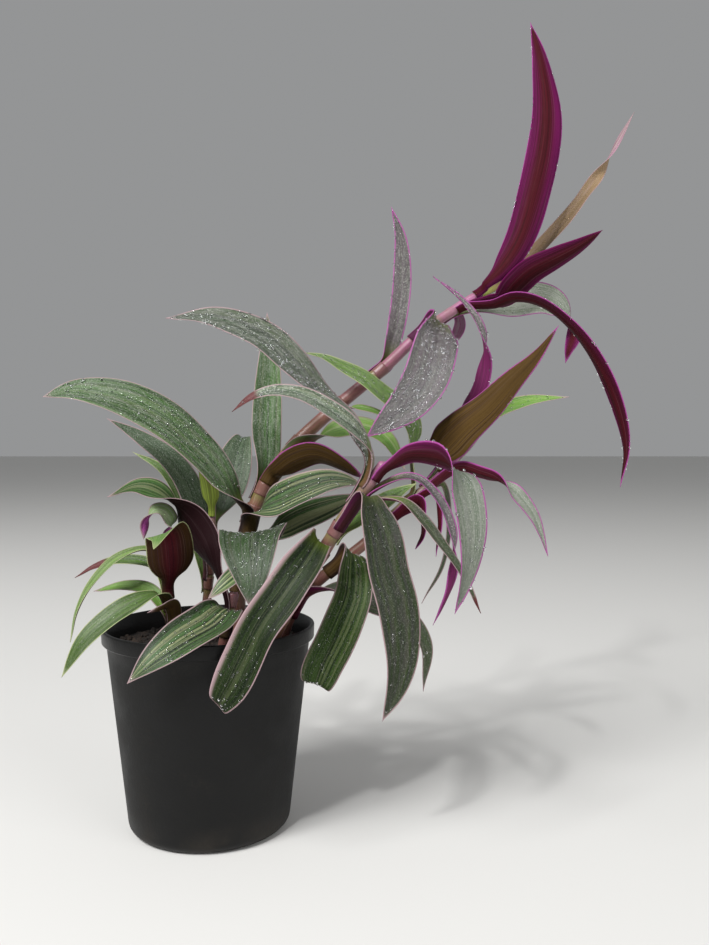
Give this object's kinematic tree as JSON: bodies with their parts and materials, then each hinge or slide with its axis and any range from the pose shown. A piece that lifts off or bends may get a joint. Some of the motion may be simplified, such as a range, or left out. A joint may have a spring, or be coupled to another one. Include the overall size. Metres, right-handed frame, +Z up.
{
  "type": "potted plant",
  "caption": "Trailing spiderwort house plant with striped, silver and magenta strap leaves on leaning canes, in a round black nursery pot of soil.",
  "frame": {"origin": "centre of the pot's underside, on the surface that it stands on", "axes": "+Z up, +X towards the side that the canes lean to, -Y towards the side with most of the leaves"},
  "size_m": [0.3726, 0.1877, 0.5062],
  "materials": {
    "pot": "matte black moulded plastic with a smoother lip",
    "soil": "dark, damp, crumbly potting soil",
    "stem": "smooth, fleshy, brownish pink with yellow-green joints",
    "leaf_striped": "satin green with pale lengthwise stripes",
    "leaf_silver": "silver-grey with pink margins, wet",
    "leaf_bright": "light green with pale stripes",
    "leaf_pale": "pale green with cream stripes",
    "leaf_blue": "blue-green, wet",
    "leaf_olive": "olive to brown underside, green above",
    "leaf_magenta": "magenta underside, striped above",
    "leaf_dark": "dark burgundy underside, green above"
  },
  "bodies": {
    "root": {"pot": "pot", "soil": "soil", "cane_tall": "stem", "cane_front": "stem", "cane_rear": "stem", "shoot_left": "stem", "shoot_middle": "stem", "shoot_back": "stem", "leaf_tall_low_left": "leaf_striped", "leaf_tall_low_front": "leaf_blue", "leaf_tall_low_right": "leaf_striped", "leaf_tall_striped": "leaf_striped", "leaf_tall_upright": "leaf_bright", "leaf_tall_olive": "leaf_olive", "leaf_tall_pale": "leaf_pale", "leaf_tall_small": "leaf_pale", "leaf_tall_pink_edged": "leaf_silver", "leaf_tall_silver": "leaf_silver", "leaf_tall_magenta": "leaf_magenta", "leaf_head_right_droop": "leaf_magenta", "leaf_head_back_droop": "leaf_silver", "leaf_head_low": "leaf_magenta", "leaf_head_tall": "leaf_magenta", "leaf_head_thin": "leaf_magenta", "leaf_front_hanging_left": "leaf_striped", "leaf_front_low_right": "leaf_bright", "leaf_front_hanging_middle": "leaf_silver", "leaf_front_dark": "leaf_dark", "leaf_front_silver": "leaf_silver", "leaf_front_droop": "leaf_silver", "leaf_front_arching_left": "leaf_bright", "leaf_front_magenta_arch": "leaf_silver", "leaf_rear_low_right": "leaf_silver", "leaf_rear_hanging": "leaf_striped", "leaf_rear_pink_small": "leaf_magenta", "leaf_rear_pink_thin": "leaf_magenta", "leaf_rear_grey_thin": "leaf_silver", "leaf_rear_arching_left": "leaf_bright", "leaf_rear_magenta": "leaf_magenta", "leaf_rear_twisted": "leaf_silver", "leaf_rear_right": "leaf_bright", "leaf_rear_olive": "leaf_olive", "leaf_left_low_front": "leaf_pale", "leaf_left_pale": "leaf_pale", "leaf_left_green": "leaf_bright", "leaf_left_brown_tip": "leaf_dark", "leaf_left_hood": "leaf_dark", "leaf_left_yellow": "leaf_bright", "leaf_left_magenta": "leaf_magenta", "leaf_middle_wide": "leaf_striped", "leaf_middle_dark": "leaf_dark", "leaf_middle_small": "leaf_striped", "leaf_back_left": "leaf_bright", "leaf_back_yellow_tip": "leaf_bright", "leaf_back_wide": "leaf_blue", "leaf_back_young": "leaf_pale"}
  },
  "joints": []
}
